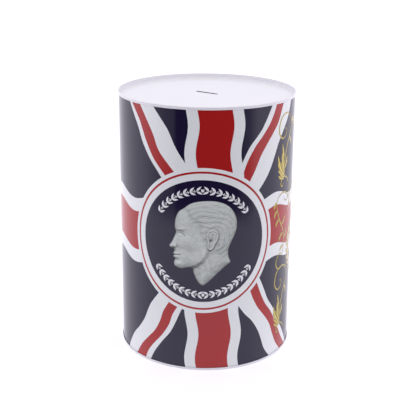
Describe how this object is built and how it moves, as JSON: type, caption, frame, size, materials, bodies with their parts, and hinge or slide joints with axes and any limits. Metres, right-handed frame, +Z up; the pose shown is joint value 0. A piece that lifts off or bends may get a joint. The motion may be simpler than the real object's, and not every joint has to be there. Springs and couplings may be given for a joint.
{
  "type": "tin money box",
  "caption": "Tall round sealed money box of printed tinplate, with a rolled welded body, two double-seamed ends and a coin slot in the sunk top.",
  "frame": {"origin": "centre of the base, on the plane that the can stands on", "axes": "+Z up along the can's axis, -Y towards the front of the printed body, +X to the right seen from the front"},
  "size_m": [0.2, 0.2, 0.3],
  "materials": {
    "printed_tinplate": "litho printed in navy, red, white and gold under gloss varnish",
    "white_lacquered_tinplate": "white coating under gloss varnish",
    "lining_compound": "matt, dried latex"
  },
  "bodies": {
    "root": {"body_shell": "printed_tinplate", "top_end": "white_lacquered_tinplate", "base_end": "white_lacquered_tinplate", "top_seam_compound": "lining_compound", "base_seam_compound": "lining_compound"}
  },
  "joints": []
}
